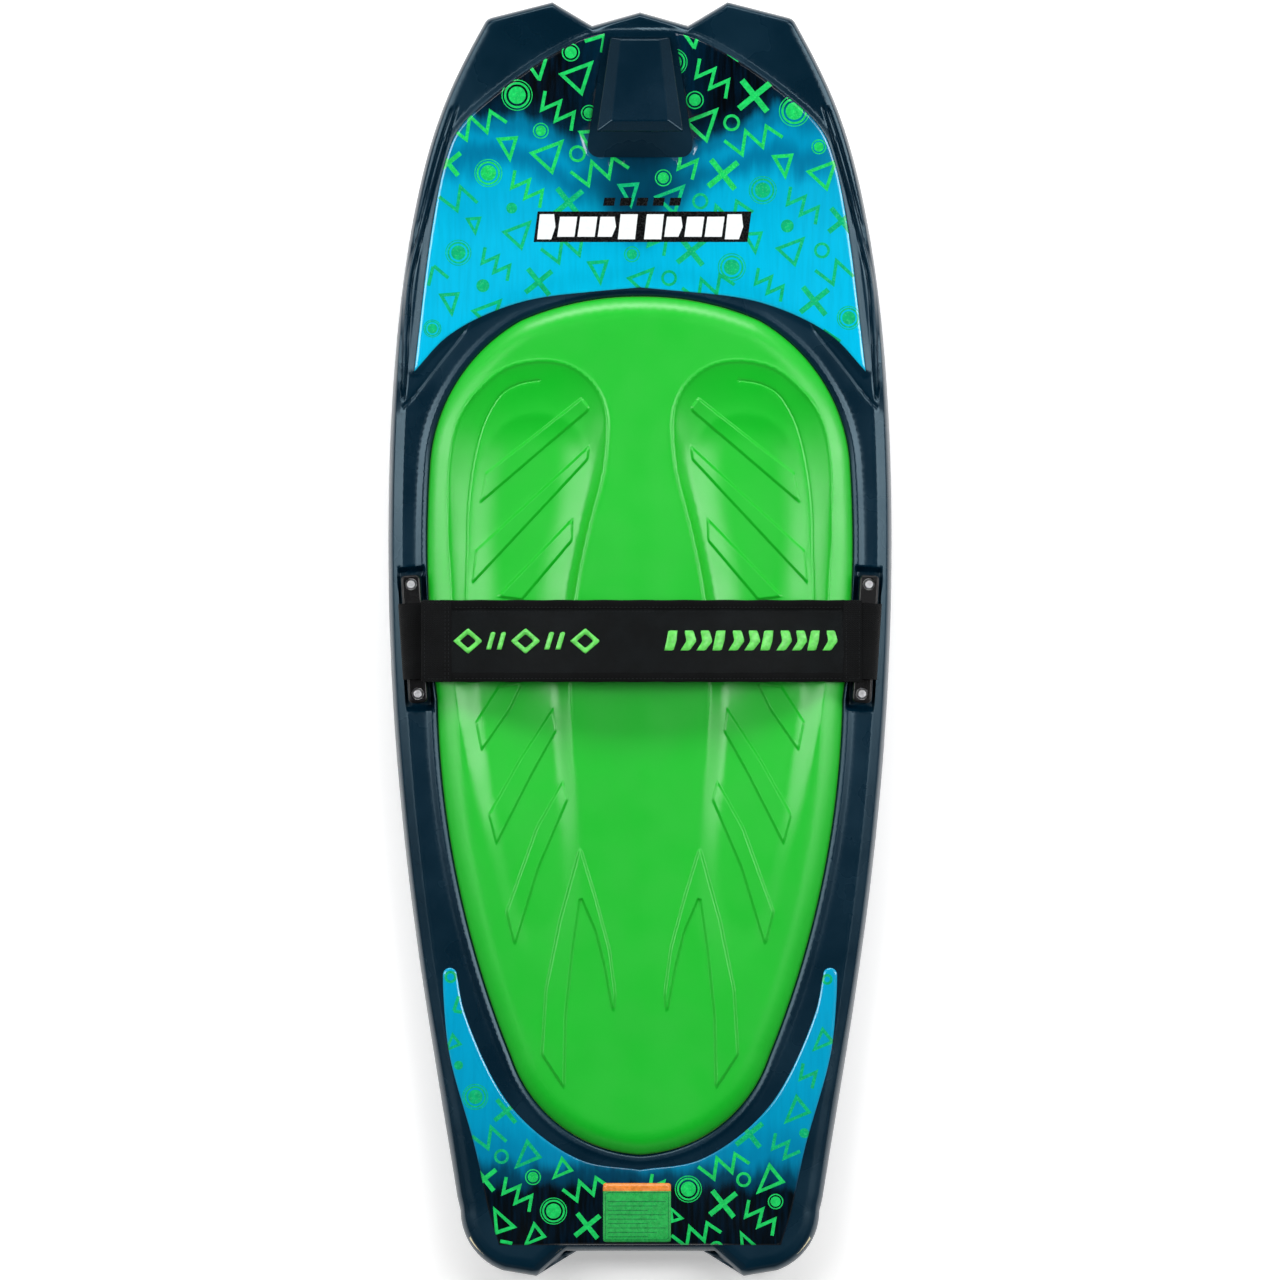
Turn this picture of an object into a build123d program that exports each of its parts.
from build123d import *
import os
from math import asin, atan2, cos, degrees, radians, sin, sqrt

# Kneeboard: a hollow moulded hull filled with foam, with a knee pad, a tow hook at the nose and a
# padded thigh strap between two brackets. Millimetres, +X to the rider's right, +Y to the nose,
# +Z up, origin on the ground under the middle of the board.

# ---------------------------------------------------------------- board
BOARD_LENGTH = 1275.0
BOARD_WIDTH = 506.0
NOSE_Y = BOARD_LENGTH / 2
HULL_WALL = 4.5
TALL = 260.0                     # higher than anything on the board
BELOW = 20.0

# Rocker: the hull is flat between these two and sweeps up in an arc at each end.
FLAT_FRONT_Y = 60.0
FLAT_REAR_Y = -200.0
NOSE_RISE = 100.0
TAIL_RISE = 38.0
NOSE_RUN = NOSE_Y - FLAT_FRONT_Y
TAIL_RUN = NOSE_Y + FLAT_REAR_Y
NOSE_RADIUS = (NOSE_RUN**2 + NOSE_RISE**2) / (2 * NOSE_RISE)
TAIL_RADIUS = (TAIL_RUN**2 + TAIL_RISE**2) / (2 * TAIL_RISE)

# Stations along the board: y, half width, height of the deck. The first and last lie past the ends.
STATIONS = [
    (-660.0, 168.0, 70.5),
    (-560.0, 183.0, 65.5),
    (-420.0, 206.0, 61.5),
    (-260.0, 229.5, 60.5),
    (-60.0, 248.0, 61.5),
    (120.0, 252.5, 63.0),
    (300.0, 244.0, 71.5),
    (440.0, 223.5, 87.5),
    (540.0, 194.0, 103.5),
    (660.0, 130.0, 130.0),
]
CHINE_SHARE = 0.68               # how far the hull tucks in below the rail, per thickness
TUCK_SHARE = 0.22                # how far the deck edge sits inside the rail, per thickness
RAIL_SHARE = 0.46                # height of the widest point of the rail, per thickness
RAIL_MARGIN = 4.0                # the rail's arc runs this far past the hull and the deck

# ---------------------------------------------------------------- knee pad
PAD_FRONT_Y = 344.0
PAD_REAR_Y = -516.0
PAD_RECESS = 13.0
PAD_RIM = 10.0                   # rim of the pad above the deck
PAD_GAP = 0.5
CUT_PAST = 5.0                   # how far a cutting layer runs past the surface it cuts
WELL_FLOOR = -3.0                # floor of the knee wells, from the deck

# ---------------------------------------------------------------- graphics
FILM = 0.6
PAD_BORDER = 9.0                 # bare rim of the hull round the pad
LABEL = 0.3
LABEL_CENTRE = (-3.0, -573.5)
LABEL_SIZE = (68.0, 59.0)
LABEL_CORNER = 2.0

# ---------------------------------------------------------------- tow hook
HOOK_REAR_Y = 507.0
HOOK_FRONT_Y = 603.0
HOOK_REAR_HALF = 43.0
HOOK_FRONT_HALF = 30.5
HOOK_LIP_Z = 132.0               # underside of the lip at its rear edge
HOOK_SLOPE = 8.0                 # degrees that the head falls towards the nose
HOOK_HEAD = 13.0
HOOK_BEVEL = 42.0
NECK_REAR_Y = 545.0
PLATE_REAR_Y = 484.0
PLATE_FRONT_Y = 610.0
PLATE_REAR_HALF = 51.5
PLATE_FRONT_HALF = 33.0
PLATE_CORNER = 12.0
PLATE_DEPTH = 3.0
PLATE_PROUD = 1.0
PLATE_MARGIN = 1.0               # bare deck round the plate
NECK_DEPTH = 40.0                # the neck is cut off level with the underside of the plate
TRIM_MARGIN = 20.0

# ---------------------------------------------------------------- strap brackets
BAR_X = 226.0
BAR_Y = 1.0
BAR_TILT = 3.6                   # degrees, each bracket follows its rail
BAR_WIDTH = 19.0
BAR_THICK = 9.0
POCKET_FLOOR = 52.5
POCKET_INNER_X = 211.5
POCKET_LENGTH = 146.0
BRACKET_LENGTH = 128.0
BRACKET_SPAN = 85.0              # clear length of the bar between its two feet
BRACKET_HEIGHT = 20.0
BRACKET_CORNER = 4.5
BRACKET_ROUND = 2.0
SCREW_SPACING = 110.0
COUNTERBORE_RADIUS = 6.6
COUNTERBORE_DEPTH = 10.0
SCREW_RADIUS = 2.5
SCREW_HOLE_RADIUS = 2.75
SCREW_HEAD_RADIUS = 5.0
SCREW_HEAD = 3.7
SCREW_HEAD_ROUND = 1.5
SCREW_CROSS = (5.2, 1.1, 4.0)    # length, width and twice the depth of the cross recess
SCREW_LENGTH = 22.0
WASHER_RADIUS = 6.0
WASHER = 1.0
INSERT_RADIUS = 4.5
INSERT_LENGTH = 12.0
BAR_Z = POCKET_FLOOR + BRACKET_HEIGHT - BAR_THICK / 2
SEAT_Z = POCKET_FLOOR + BRACKET_HEIGHT - COUNTERBORE_DEPTH

# ---------------------------------------------------------------- fill plug in the hull
PLUG_Y = -150.0
PLUG_HEAD_RADIUS = 18.0
PLUG_STEM_RADIUS = 14.0
PLUG_HEAD = 2.5
PLUG_DEPTH = 12.0
PLUG_SINK = 1.0
PLUG_SLOT = (18.0, 3.0)           # slot for a coin or screwdriver
PLUG_SLOT_DEPTH = 1.5

# ---------------------------------------------------------------- strap
STRAP_Y = -1.0
STRAP_WIDTH = 82.0
WEB_WIDTH = 76.0
WEB = 2.2
LOOP_RADIUS = 12.9               # middle of the webbing where it wraps a bar
WEB_Z = BAR_Z + LOOP_RADIUS
PAD_WIDTH = 62.0                 # padded middle of the sleeve, between its two seams
SKIN = 0.9
FOAM_UNDER = 4.5
FOAM_OVER = 2.5
SEAM_SKIN = 0.7
BINDING = 0.8
BINDING_WIDTH = 9.5
PATCH = 1.4
PATCH_GAP = 0.3
SLEEVE_RIGHT_X = 204.0
SLEEVE_LEFT_X = -189.0
PULL_LEFT_X = -219.0
PULL_SKIN = 2.0
PULL_HIGH = 3.2                  # top of the pull tab above the middle of its webbing
ANCHOR_RIGHT_X = 222.0
RIGHT_FLARE_X = 196.0            # where the strap starts to rise from the right bracket
LEFT_FLARE_X = -165.0            # where it comes level again over the left tab
FLARE_RADIUS = 120.0
RIGHT_SLOPE = 24.0
TAB_LEFT_X = -160.0
HOOK_PATCH = (-212.0, -163.0)

SLEEVE_LOW = -(WEB / 2 + FOAM_UNDER + SKIN)
SLEEVE_HIGH = WEB / 2 + FOAM_OVER + SKIN
# Over the left tab the strap lies on two patches, so its webbing runs that much higher there.
LEFT_WEB_Z = WEB_Z + WEB / 2 + 2 * PATCH + PATCH_GAP - SLEEVE_LOW
RIGHT_CROWN = RIGHT_FLARE_X / sin(radians(RIGHT_SLOPE)) - FLARE_RADIUS
CROWN_Z = WEB_Z + (RIGHT_CROWN + FLARE_RADIUS) * (1 - cos(radians(RIGHT_SLOPE)))
LEFT_SLOPE = degrees(2 * atan2(CROWN_Z - LEFT_WEB_Z, -LEFT_FLARE_X))
LEFT_CROWN = -LEFT_FLARE_X / sin(radians(LEFT_SLOPE)) - FLARE_RADIUS


# ---------------------------------------------------------------- hull form
def keel_z(y):
    """Height of the underside of the hull at y."""
    if y > FLAT_FRONT_Y:
        return NOSE_RADIUS - sqrt(NOSE_RADIUS**2 - (y - FLAT_FRONT_Y) ** 2)
    if y < FLAT_REAR_Y:
        return TAIL_RADIUS - sqrt(TAIL_RADIUS**2 - (FLAT_REAR_Y - y) ** 2)
    return 0.0


def rail_section(half_width, keel, deck):
    """Cross-section with rounded rails, carried past the hull and the deck to be cut there."""
    past = 8.0
    low = keel - RAIL_MARGIN
    high = deck + RAIL_MARGIN
    thick = high - low
    chine = half_width - CHINE_SHARE * thick
    edge = half_width - TUCK_SHARE * thick
    rail = (half_width, low + RAIL_SHARE * thick)
    with BuildSketch() as section:
        with BuildLine():
            Line((0, low - past), (chine, low - past))
            Line((chine, low - past), (chine, low))
            ThreePointArc((chine, low), rail, (edge, high))
            Line((edge, high), (edge, high + past))
            Line((edge, high + past), (0, high + past))
            Line((0, high + past), (0, low - past))
        make_face()
        mirror(about=Plane.YZ)
    return section.sketch


def side_profile(inset):
    """Rocker line and deck line, each drawn in by inset."""
    past = 22.0
    nose_sweep = degrees(asin((NOSE_RUN + past) / NOSE_RADIUS))
    tail_sweep = degrees(asin((TAIL_RUN + past) / TAIL_RADIUS))
    with BuildSketch() as profile:
        with BuildLine():
            flat = Line((FLAT_REAR_Y, inset), (FLAT_FRONT_Y, inset))
            nose = JernArc(flat @ 1, (1, 0), NOSE_RADIUS - inset, nose_sweep)
            tail = JernArc(flat @ 0, (-1, 0), TAIL_RADIUS - inset, -tail_sweep)
            deck = Spline(*[(y, z - inset) for y, _, z in STATIONS])
            Line(nose @ 1, deck @ 1)
            Line(tail @ 1, deck @ 0)
        make_face()
    return profile.sketch


def plan_outline(inset):
    """Plan view: the notched nose and the swallow tail; the rails are left to the sections."""
    with BuildSketch() as outline:
        with BuildLine():
            Polyline(
                (0, 627.5), (48, 614), (87.5, NOSE_Y), (149, 622), (262, 540), (262, -540), (185, -570),
            )
            ThreePointArc((185, -570), (172, -606), (137, -632))
            Polyline((137, -632), (104, -NOSE_Y), (75, -612.5), (0, -612.5), (0, 627.5))
        make_face()
        mirror(about=Plane.YZ)
        if inset:
            offset(amount=-inset)
    return outline.sketch


def hull_form(inset):
    """The whole hull as one solid, drawn in by inset on every side."""
    with BuildPart() as rails:
        for y, half_width, deck_z in STATIONS:
            with BuildSketch(Plane.XZ.offset(-y)):
                add(rail_section(half_width - inset, keel_z(y), deck_z))
        loft()
    with BuildPart() as form:
        with BuildSketch(Plane.YZ):
            add(side_profile(inset))
        extrude(amount=BOARD_WIDTH, both=True)
        with BuildSketch(Plane.XY.offset(-BELOW)):
            add(plan_outline(inset))
        extrude(amount=TALL, mode=Mode.INTERSECT)
        add(rails.part, mode=Mode.INTERSECT)
    return form.part


def deck_layer(outline, low, high, grow=0.0):
    """A layer that follows the deck, from low to high above it, inside an outline."""
    with BuildPart() as layer:
        with BuildSketch(Plane.YZ.offset(-BOARD_WIDTH)):
            with BuildLine():
                bottom = Spline(*[(y, z + low) for y, _, z in STATIONS])
                top = Spline(*[(y, z + high) for y, _, z in STATIONS])
                Line(bottom @ 0, top @ 0)
                Line(bottom @ 1, top @ 1)
            make_face()
        extrude(amount=2 * BOARD_WIDTH)
        with BuildSketch(Plane.XY.offset(-BELOW)):
            add(outline)
            if grow:
                offset(amount=grow)
        extrude(amount=TALL + BELOW, mode=Mode.INTERSECT)
    return layer.part


# ---------------------------------------------------------------- outlines on the deck
def pad_outline():
    """Egg-shaped outline of the knee pad, in five arcs each side."""
    with BuildSketch() as outline:
        with BuildLine():
            ThreePointArc((0, PAD_FRONT_Y), (62, 338), (119, 320))
            ThreePointArc((119, 320), (182.5, 260), (210, 180))
            ThreePointArc((210, 180), (213, 80), (203, -60))
            ThreePointArc((203, -60), (184, -235), (129, -418))
            ThreePointArc((129, -418), (77, -489), (0, PAD_REAR_Y))
            Line((0, PAD_REAR_Y), (0, PAD_FRONT_Y))
        make_face()
        mirror(about=Plane.YZ)
    return outline.sketch


def knee_wells():
    """The two hollows that the knees and shins rest in."""
    with BuildSketch() as outline:
        with BuildLine():
            Spline(
                (97, 282), (38, 215), (50, 110), (68, -60), (70, -260), (110, -330), (150, -220),
                (180, -60), (188, 100), (160, 240),
                periodic=True,
            )
        make_face()
        mirror(about=Plane.YZ)
    return outline.sketch


def hook_plate():
    """Base plate of the tow hook, rounded at the two corners that face the rider."""
    with BuildSketch() as outline:
        with BuildLine():
            Polyline(
                (0, PLATE_REAR_Y), (PLATE_REAR_HALF, PLATE_REAR_Y), (PLATE_REAR_HALF - 2, HOOK_REAR_Y),
                (PLATE_FRONT_HALF, PLATE_FRONT_Y), (0, PLATE_FRONT_Y), (0, PLATE_REAR_Y),
            )
        make_face()
        mirror(about=Plane.YZ)
        fillet(outline.vertices().group_by(Axis.Y)[0], radius=PLATE_CORNER)
    return outline.sketch


def nose_film():
    """Printed panel on the nose, from the hook to the front of the knee pad."""
    with BuildSketch() as outline:
        with BuildLine():
            Spline((0, 607), (42, 605), (82, 588), (140, 549), (180, 512), (194, 480), (208, 412), (226, 269))
            Spline((226, 269), (190, 306), (120, 338), (0, 353), tangents=[(-0.5, 0.6), (-1, 0)])
            Line((0, 353), (0, 607))
        make_face()
        mirror(about=Plane.YZ)
    return outline.sketch


def tail_film():
    """Printed panel on the tail, with an arm up each side of the knee pad."""
    with BuildSketch() as outline:
        with BuildLine():
            outer = Spline((197.5, -336), (197, -356), (191, -415), (165, -510), (151, -574), (141, -606))
            inner = Spline((183.5, -336), (175, -376), (129, -468), (62, -520), (0, -531))
            ThreePointArc(outer @ 0, (190.5, -328.5), inner @ 0)
            Polyline((141, -606), (0, -606), (0, -531))
        make_face()
        mirror(about=Plane.YZ)
    return outline.sketch


def label_outline():
    """Sticker on the tail panel."""
    with BuildSketch() as outline:
        with Locations(LABEL_CENTRE):
            RectangleRounded(*LABEL_SIZE, radius=LABEL_CORNER)
    return outline.sketch


# ---------------------------------------------------------------- bracket places
def bracket_plane(side, z):
    """Level plane at a bracket, its x axis along the bar."""
    tilt = radians(BAR_TILT)
    return Plane(origin=(side * BAR_X, BAR_Y, z), x_dir=(side * sin(tilt), cos(tilt), 0), z_dir=(0, 0, 1))


def screw_places(z):
    """The four bracket screws."""
    tilt = radians(BAR_TILT)
    reach = SCREW_SPACING / 2
    return [
        (side * (BAR_X + end * reach * sin(tilt)), BAR_Y + end * reach * cos(tilt), z)
        for side in (-1, 1)
        for end in (-1, 1)
    ]


def bracket_pockets(grow, floor):
    """Flat-bottomed pockets for the brackets, open at the rails."""
    reach = 60.0
    length = POCKET_LENGTH + 2 * grow
    inner = BAR_X - POCKET_INNER_X + grow
    with BuildPart() as pockets:
        for side in (-1, 1):
            with BuildSketch(bracket_plane(side, floor)):
                with Locations((0, side * (inner - reach) / 2)):
                    Rectangle(length, inner + reach)
            extrude(amount=TALL)
    return pockets.part


# ---------------------------------------------------------------- build: hull
hull_outside = hull_form(0.0)
pad_seat = deck_layer(pad_outline(), -PAD_RECESS, TALL / 2, grow=PAD_GAP)
plate_seat = deck_layer(hook_plate(), -PLATE_DEPTH, TALL / 2)
pockets = bracket_pockets(0.0, POCKET_FLOOR)
pad_seat_wall = deck_layer(pad_outline(), -PAD_RECESS - HULL_WALL, TALL / 2, grow=PAD_GAP + HULL_WALL)
plate_seat_wall = deck_layer(hook_plate(), -PLATE_DEPTH - HULL_WALL, TALL / 2, grow=HULL_WALL)
pocket_wall = bracket_pockets(HULL_WALL, POCKET_FLOOR - HULL_WALL)

with BuildPart() as foam_core:
    add(hull_form(HULL_WALL))
    add(pad_seat_wall, mode=Mode.SUBTRACT)
    add(plate_seat_wall, mode=Mode.SUBTRACT)
    add(pocket_wall, mode=Mode.SUBTRACT)
    with Locations(*screw_places(POCKET_FLOOR)):
        Cylinder(
            INSERT_RADIUS + HULL_WALL, INSERT_LENGTH + HULL_WALL,
            align=(Align.CENTER, Align.CENTER, Align.MAX), mode=Mode.SUBTRACT,
        )
    with Locations((0, PLUG_Y, 0)):
        Cylinder(
            PLUG_HEAD_RADIUS + HULL_WALL, PLUG_DEPTH + HULL_WALL,
            align=(Align.CENTER, Align.CENTER, Align.MIN), mode=Mode.SUBTRACT,
        )

with BuildPart() as board_shell:
    add(hull_outside)
    add(foam_core.part, mode=Mode.SUBTRACT)
    add(pad_seat, mode=Mode.SUBTRACT)
    add(plate_seat, mode=Mode.SUBTRACT)
    add(pockets, mode=Mode.SUBTRACT)
    with Locations(*screw_places(POCKET_FLOOR)):
        Cylinder(
            INSERT_RADIUS, INSERT_LENGTH,
            align=(Align.CENTER, Align.CENTER, Align.MAX), mode=Mode.SUBTRACT,
        )
    with Locations((0, PLUG_Y, 0)):
        Cylinder(
            PLUG_HEAD_RADIUS, PLUG_SINK + PLUG_HEAD,
            align=(Align.CENTER, Align.CENTER, Align.MIN), mode=Mode.SUBTRACT,
        )
        Cylinder(
            PLUG_STEM_RADIUS, PLUG_DEPTH,
            align=(Align.CENTER, Align.CENTER, Align.MIN), mode=Mode.SUBTRACT,
        )

with BuildPart() as fill_plug:
    with BuildSketch(Plane.XY.offset(PLUG_SINK)):
        with Locations((0, PLUG_Y)):
            Circle(PLUG_HEAD_RADIUS)
    extrude(amount=PLUG_HEAD)
    with BuildSketch(Plane.XY.offset(PLUG_SINK)):
        with Locations((0, PLUG_Y)):
            Circle(PLUG_STEM_RADIUS)
    extrude(amount=PLUG_DEPTH - PLUG_SINK)
    with BuildSketch(Plane.XY.offset(PLUG_SINK)):
        with Locations((0, PLUG_Y)):
            Rectangle(*PLUG_SLOT)
    extrude(amount=PLUG_SLOT_DEPTH, mode=Mode.SUBTRACT)

# ---------------------------------------------------------------- build: pad, graphics, label
pad_blank = deck_layer(pad_outline(), -PAD_RECESS, PAD_RIM)
well_cut = deck_layer(knee_wells(), WELL_FLOOR, PAD_RIM + CUT_PAST)

with BuildPart() as knee_pad:
    add(pad_blank)
    add(well_cut, mode=Mode.SUBTRACT)

nose_layer = deck_layer(nose_film(), 0.0, FILM)
plate_gap = deck_layer(hook_plate(), -CUT_PAST, CUT_PAST, grow=PLATE_MARGIN)
pad_border = deck_layer(pad_outline(), -CUT_PAST, CUT_PAST, grow=PAD_BORDER)

with BuildPart() as nose_graphic:
    add(nose_layer)
    add(plate_gap, mode=Mode.SUBTRACT)
    add(pad_border, mode=Mode.SUBTRACT)

with BuildPart() as tail_graphic:
    add(deck_layer(tail_film(), 0.0, FILM))
    add(pad_border, mode=Mode.SUBTRACT)

with BuildPart() as tail_label:
    add(deck_layer(label_outline(), FILM, FILM + LABEL))

# ---------------------------------------------------------------- build: tow hook
head_plane = Plane(
    origin=(0, HOOK_REAR_Y, HOOK_LIP_Z),
    x_dir=(1, 0, 0),
    z_dir=(0, sin(radians(HOOK_SLOPE)), cos(radians(HOOK_SLOPE))),
)
head_length = (HOOK_FRONT_Y - HOOK_REAR_Y) / cos(radians(HOOK_SLOPE))
neck_rear = (NECK_REAR_Y - HOOK_REAR_Y) / cos(radians(HOOK_SLOPE))
neck_half = HOOK_REAR_HALF + (HOOK_FRONT_HALF - HOOK_REAR_HALF) * neck_rear / head_length
plate_body = deck_layer(hook_plate(), -PLATE_DEPTH, PLATE_PROUD)
below_plate = deck_layer(hook_plate(), -TALL / 2, -PLATE_DEPTH, grow=TRIM_MARGIN)

with BuildPart() as tow_hook:
    with BuildSketch(head_plane):
        with BuildLine():
            Polyline(
                (-HOOK_REAR_HALF, 0), (HOOK_REAR_HALF, 0), (HOOK_FRONT_HALF, head_length),
                (-HOOK_FRONT_HALF, head_length), close=True,
            )
        make_face()
    extrude(amount=HOOK_HEAD, taper=HOOK_BEVEL)
    with BuildSketch(head_plane):
        with BuildLine():
            Polyline(
                (-neck_half, neck_rear), (neck_half, neck_rear), (HOOK_FRONT_HALF, head_length),
                (-HOOK_FRONT_HALF, head_length), close=True,
            )
        make_face()
    extrude(amount=-NECK_DEPTH)
    add(below_plate, mode=Mode.SUBTRACT)
    add(plate_body)

# ---------------------------------------------------------------- build: brackets and fasteners
def make_bracket(side):
    """Bar for the strap on two feet, each foot with a counterbored screw hole."""
    with BuildPart() as bracket:
        with BuildSketch(bracket_plane(side, POCKET_FLOOR)):
            RectangleRounded(BRACKET_LENGTH, BAR_WIDTH, radius=BRACKET_CORNER)
        extrude(amount=BRACKET_HEIGHT)
        fillet(bracket.faces().sort_by(Axis.Z)[-1].edges(), radius=BRACKET_ROUND)
        with BuildSketch(bracket_plane(side, POCKET_FLOOR)):
            Rectangle(BRACKET_SPAN, 2 * BAR_WIDTH)
        extrude(amount=BRACKET_HEIGHT - BAR_THICK, mode=Mode.SUBTRACT)
        with Locations(bracket_plane(side, POCKET_FLOOR + BRACKET_HEIGHT)):
            with Locations((-SCREW_SPACING / 2, 0), (SCREW_SPACING / 2, 0)):
                CounterBoreHole(SCREW_HOLE_RADIUS, COUNTERBORE_RADIUS, COUNTERBORE_DEPTH)
    return bracket


strap_bracket_left = make_bracket(-1)
strap_bracket_right = make_bracket(1)

with BuildPart() as bracket_washers:
    with Locations(*screw_places(SEAT_Z)):
        Cylinder(WASHER_RADIUS, WASHER, align=(Align.CENTER, Align.CENTER, Align.MIN))
        Cylinder(
            SCREW_HOLE_RADIUS, WASHER,
            align=(Align.CENTER, Align.CENTER, Align.MIN), mode=Mode.SUBTRACT,
        )

with BuildPart() as bracket_screws:
    with Locations(*screw_places(SEAT_Z + WASHER)):
        Cylinder(SCREW_RADIUS, SCREW_LENGTH, align=(Align.CENTER, Align.CENTER, Align.MAX))
        Cylinder(SCREW_HEAD_RADIUS, SCREW_HEAD, align=(Align.CENTER, Align.CENTER, Align.MIN))
    fillet(bracket_screws.faces().group_by(Axis.Z)[-1].edges(), radius=SCREW_HEAD_ROUND)
    with Locations(*screw_places(SEAT_Z + WASHER + SCREW_HEAD)):
        Box(*SCREW_CROSS, mode=Mode.SUBTRACT)
        Box(*SCREW_CROSS, rotation=(0, 0, 90), mode=Mode.SUBTRACT)

with BuildPart() as threaded_inserts:
    with Locations(*screw_places(POCKET_FLOOR)):
        Cylinder(INSERT_RADIUS, INSERT_LENGTH, align=(Align.CENTER, Align.CENTER, Align.MAX))
        Cylinder(
            SCREW_RADIUS, INSERT_LENGTH,
            align=(Align.CENTER, Align.CENTER, Align.MAX), mode=Mode.SUBTRACT,
        )


# ---------------------------------------------------------------- build: strap
def strap_edge(rise, right_x, left_x):
    """Line along the strap, rise above the middle of its webbing."""
    with BuildLine() as edge:
        right_run = Line((right_x, WEB_Z + rise), (RIGHT_FLARE_X, WEB_Z + rise))
        right_flare = JernArc(right_run @ 1, (-1, 0), FLARE_RADIUS - rise, -RIGHT_SLOPE)
        right_crown = JernArc(right_flare @ 1, right_flare % 1, RIGHT_CROWN + rise, RIGHT_SLOPE)
        left_crown = JernArc(right_crown @ 1, right_crown % 1, LEFT_CROWN + rise, LEFT_SLOPE)
        left_flare = JernArc(left_crown @ 1, left_crown % 1, FLARE_RADIUS - rise, -LEFT_SLOPE)
        Line(left_flare @ 1, (left_x, LEFT_WEB_Z + rise))
    return edge.line


def strap_slab(low, high, width, right_x=SLEEVE_RIGHT_X, left_x=SLEEVE_LEFT_X, middle_y=STRAP_Y):
    """A layer of the strap, from low to high above the middle of its webbing."""
    with BuildPart() as slab:
        with BuildSketch(Plane.XZ.offset(-middle_y)):
            with BuildLine():
                add(strap_edge(low, right_x, left_x))
                add(strap_edge(high, right_x, left_x))
                Line((right_x, WEB_Z + low), (right_x, WEB_Z + high))
                Line((left_x, LEFT_WEB_Z + low), (left_x, LEFT_WEB_Z + high))
            make_face()
        extrude(amount=width / 2, both=True)
    return slab.part


def loop_plane(side):
    """Plane across a bar at the middle of the strap."""
    tilt = radians(BAR_TILT)
    along = STRAP_Y - BAR_Y
    return Plane(
        origin=(side * (BAR_X + along * sin(tilt)), STRAP_Y, BAR_Z),
        x_dir=(cos(tilt), -side * sin(tilt), 0),
        z_dir=(side * sin(tilt), cos(tilt), 0),
    )


def web_loop(side):
    """The webbing where it wraps a bar."""
    with BuildPart() as loop:
        with BuildSketch(loop_plane(side)):
            Circle(LOOP_RADIUS + WEB / 2)
            Circle(LOOP_RADIUS - WEB / 2, mode=Mode.SUBTRACT)
        extrude(amount=WEB_WIDTH / 2, both=True)
    return loop.part


def flat_piece(x_range, z_range, width):
    """A flat piece of webbing or tape, level and across the strap."""
    with BuildPart() as piece:
        with BuildSketch(Plane.XY.offset(z_range[0])):
            with Locations(((x_range[0] + x_range[1]) / 2, STRAP_Y)):
                Rectangle(x_range[1] - x_range[0], width)
        extrude(amount=z_range[1] - z_range[0])
    return piece.part


padding_room = strap_slab(-WEB / 2 - FOAM_UNDER, WEB / 2 + FOAM_OVER, PAD_WIDTH - 2 * SKIN)
web_room = strap_slab(-WEB / 2, WEB / 2, WEB_WIDTH)
seam_layer = strap_slab(-WEB / 2 - SEAM_SKIN, WEB / 2 + SEAM_SKIN, STRAP_WIDTH - 2 * BINDING)
web_strip = strap_slab(-WEB / 2, WEB / 2, WEB_WIDTH, right_x=BAR_X + 1, left_x=PULL_LEFT_X + PULL_SKIN)
patch_low = WEB_Z + WEB / 2

with BuildPart() as strap_webbing:
    add(web_strip)
    add(web_loop(1))

with BuildPart() as strap_foam_under:
    add(strap_slab(-WEB / 2 - FOAM_UNDER, -WEB / 2, PAD_WIDTH - 2 * SKIN))

with BuildPart() as strap_foam_over:
    add(strap_slab(WEB / 2, WEB / 2 + FOAM_OVER, PAD_WIDTH - 2 * SKIN))

with BuildPart() as strap_sleeve:
    add(strap_slab(SLEEVE_LOW, SLEEVE_HIGH, PAD_WIDTH))
    add(seam_layer)
    add(padding_room, mode=Mode.SUBTRACT)
    add(web_room, mode=Mode.SUBTRACT)


def make_binding(side):
    """Tape folded over one long edge of the sleeve and sewn through."""
    fold_low = -WEB / 2 - SEAM_SKIN - BINDING
    middle = STRAP_Y + side * (STRAP_WIDTH - BINDING_WIDTH) / 2
    fold = strap_slab(fold_low, -fold_low, BINDING_WIDTH, middle_y=middle)
    with BuildPart() as binding:
        add(fold)
        add(seam_layer, mode=Mode.SUBTRACT)
    return binding


sleeve_binding_front = make_binding(1)
sleeve_binding_rear = make_binding(-1)

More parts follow.
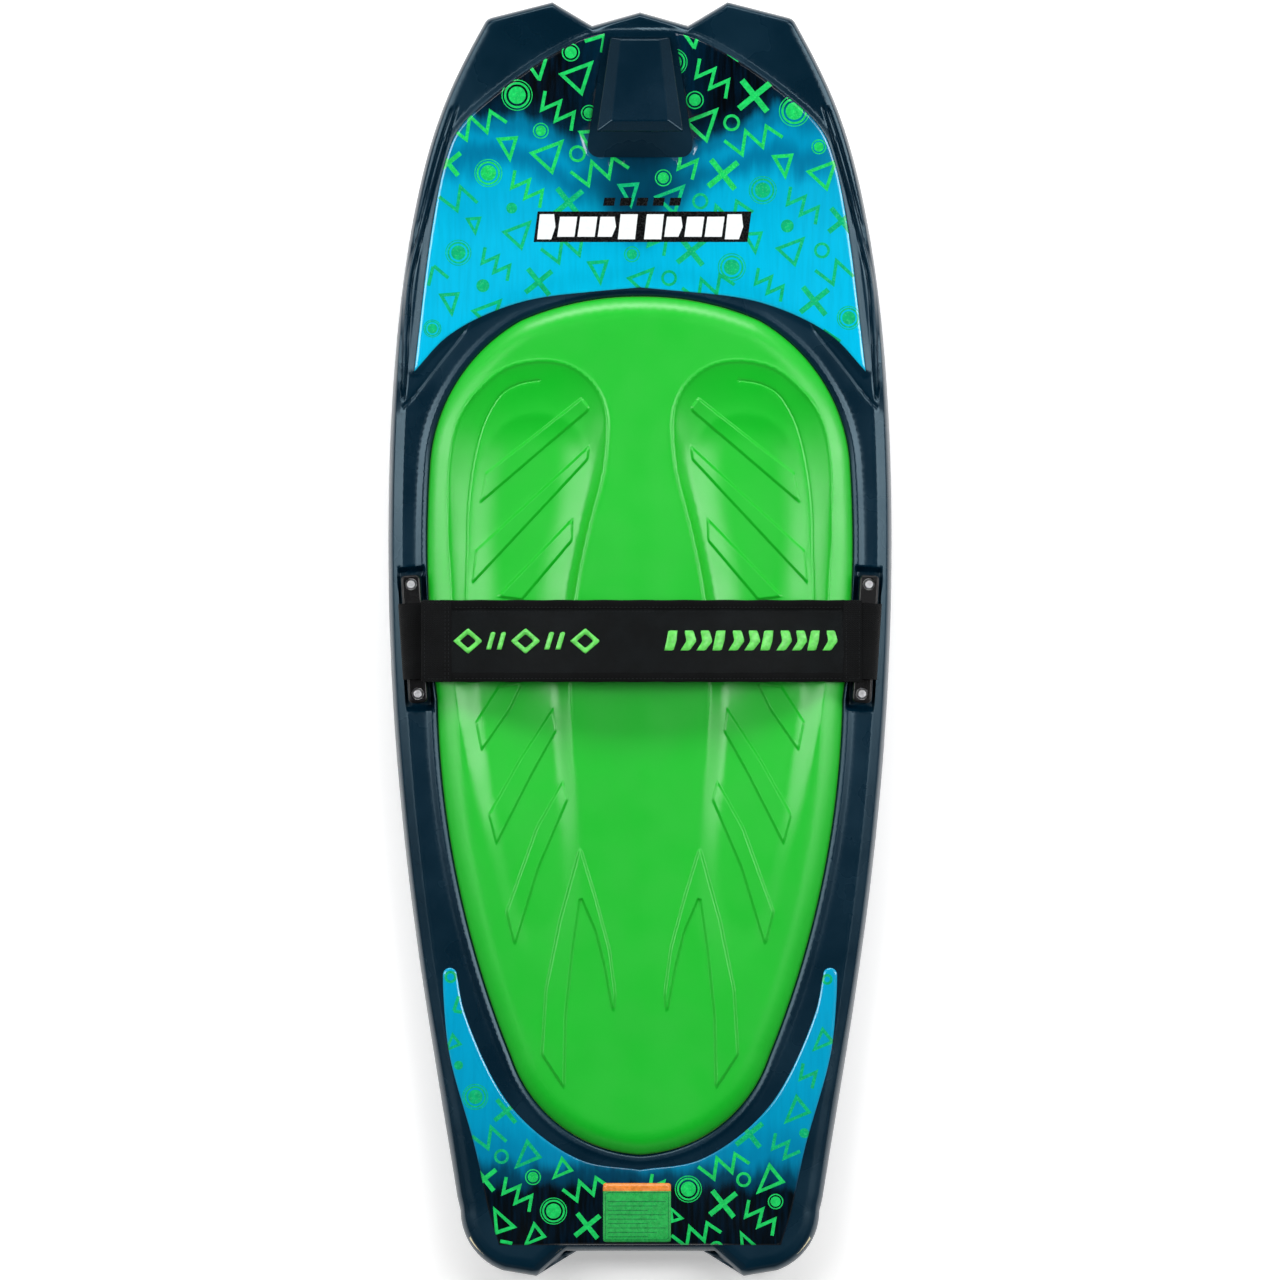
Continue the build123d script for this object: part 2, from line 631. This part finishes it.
with BuildPart() as pull_tab:
    pull_range = (LEFT_WEB_Z + SLEEVE_LOW, LEFT_WEB_Z + PULL_HIGH)
    add(flat_piece((PULL_LEFT_X, SLEEVE_LEFT_X), pull_range, STRAP_WIDTH))
    add(web_strip, mode=Mode.SUBTRACT)

with BuildPart() as loop_patch:
    add(flat_piece(HOOK_PATCH, (patch_low + PATCH + PATCH_GAP, LEFT_WEB_Z + SLEEVE_LOW), PAD_WIDTH))

with BuildPart() as anchor_patch:
    add(flat_piece((SLEEVE_RIGHT_X, ANCHOR_RIGHT_X), (WEB_Z + WEB / 2, WEB_Z + WEB / 2 + PATCH), STRAP_WIDTH))

# ---------------------------------------------------------------- build: left tab
with BuildPart() as tab_webbing:
    add(flat_piece((-BAR_X - 1, TAB_LEFT_X), (WEB_Z - WEB / 2, WEB_Z + WEB / 2), WEB_WIDTH))
    add(web_loop(-1))

with BuildPart() as hook_patch:
    add(flat_piece(HOOK_PATCH, (patch_low, patch_low + PATCH), PAD_WIDTH))

# ---------------------------------------------------------------- export
pieces = {
    "board_shell": board_shell,
    "foam_core": foam_core,
    "fill_plug": fill_plug,
    "nose_graphic": nose_graphic,
    "tail_graphic": tail_graphic,
    "tail_label": tail_label,
    "knee_pad": knee_pad,
    "tow_hook": tow_hook,
    "strap_bracket_left": strap_bracket_left,
    "strap_bracket_right": strap_bracket_right,
    "bracket_screws": bracket_screws,
    "bracket_washers": bracket_washers,
    "threaded_inserts": threaded_inserts,
    "strap_webbing": strap_webbing,
    "strap_foam_under": strap_foam_under,
    "strap_foam_over": strap_foam_over,
    "strap_sleeve": strap_sleeve,
    "sleeve_binding_front": sleeve_binding_front,
    "sleeve_binding_rear": sleeve_binding_rear,
    "pull_tab": pull_tab,
    "loop_patch": loop_patch,
    "anchor_patch": anchor_patch,
    "tab_webbing": tab_webbing,
    "hook_patch": hook_patch,
}

os.makedirs("parts", exist_ok=True)
for name, piece in pieces.items():
    piece.part.label = name
    export_step(piece.part, f"parts/{name}.step")
